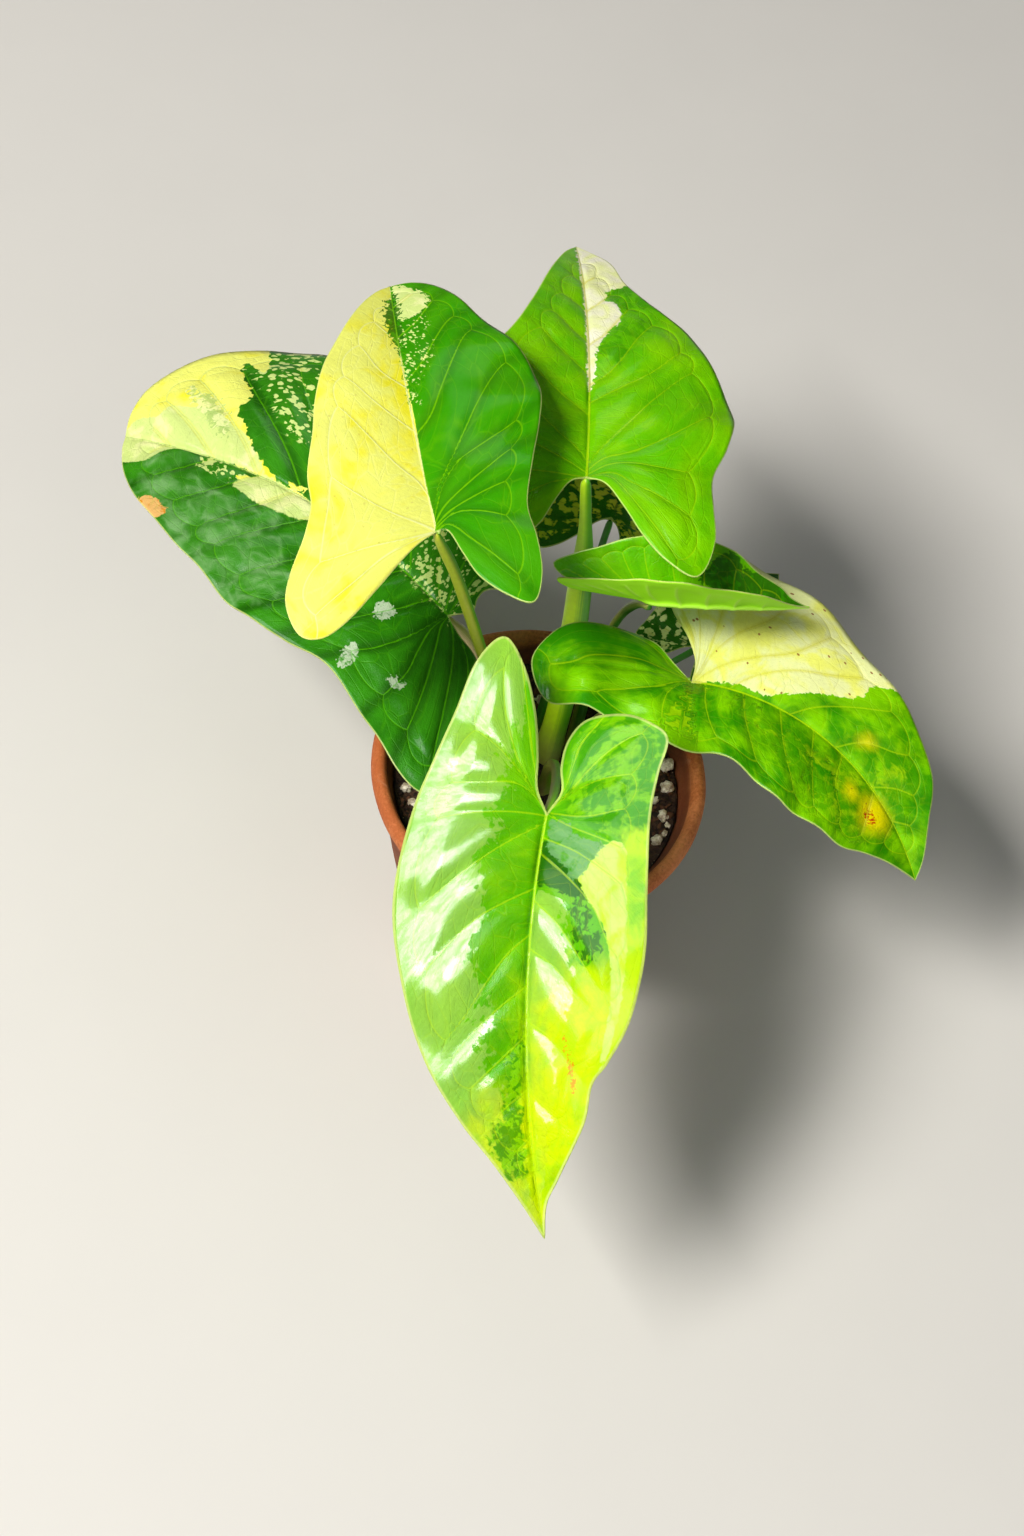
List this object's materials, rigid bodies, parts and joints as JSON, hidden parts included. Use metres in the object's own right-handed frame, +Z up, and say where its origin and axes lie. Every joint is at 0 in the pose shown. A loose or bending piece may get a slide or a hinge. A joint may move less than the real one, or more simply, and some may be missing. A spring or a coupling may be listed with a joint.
{
  "type": "potted arrowhead plant",
  "caption": "Variegated arrowhead plant with broad arrow-shaped leaves on sheathed stalks, growing in soil in a plain tapered clay pot that stands on its flat base.",
  "frame": {"origin": "middle of the pot's flat base", "axes": "+Z up out of the pot; -Y towards the picture's viewer, where the front leaf hangs over the rim; +X to the viewer's right"},
  "size_m": [0.3343, 0.3897, 0.2686],
  "materials": {
    "clay": "matte",
    "soil": "matte",
    "stem": "satin",
    "front_leaf": "satin",
    "right_leaf": "satin",
    "folded_leaf": "satin",
    "back_leaf": "satin",
    "yellow_leaf": "satin",
    "left_leaf": "satin",
    "low_back_leaf": "satin",
    "low_right_leaf": "satin"
  },
  "bodies": {
    "root": {"pot": "clay", "soil": "soil", "front_leaf": "front_leaf", "right_leaf": "right_leaf", "folded_leaf": "folded_leaf", "back_leaf": "back_leaf", "yellow_leaf": "yellow_leaf", "left_leaf": "left_leaf", "low_back_leaf": "low_back_leaf", "low_right_leaf": "low_right_leaf", "front_stem": "stem", "right_stem": "stem", "folded_stem": "stem", "back_stem": "stem", "yellow_stem": "stem", "left_stem": "stem", "low_back_stem": "stem", "low_right_stem": "stem", "new_shoot": "stem"}
  },
  "joints": []
}
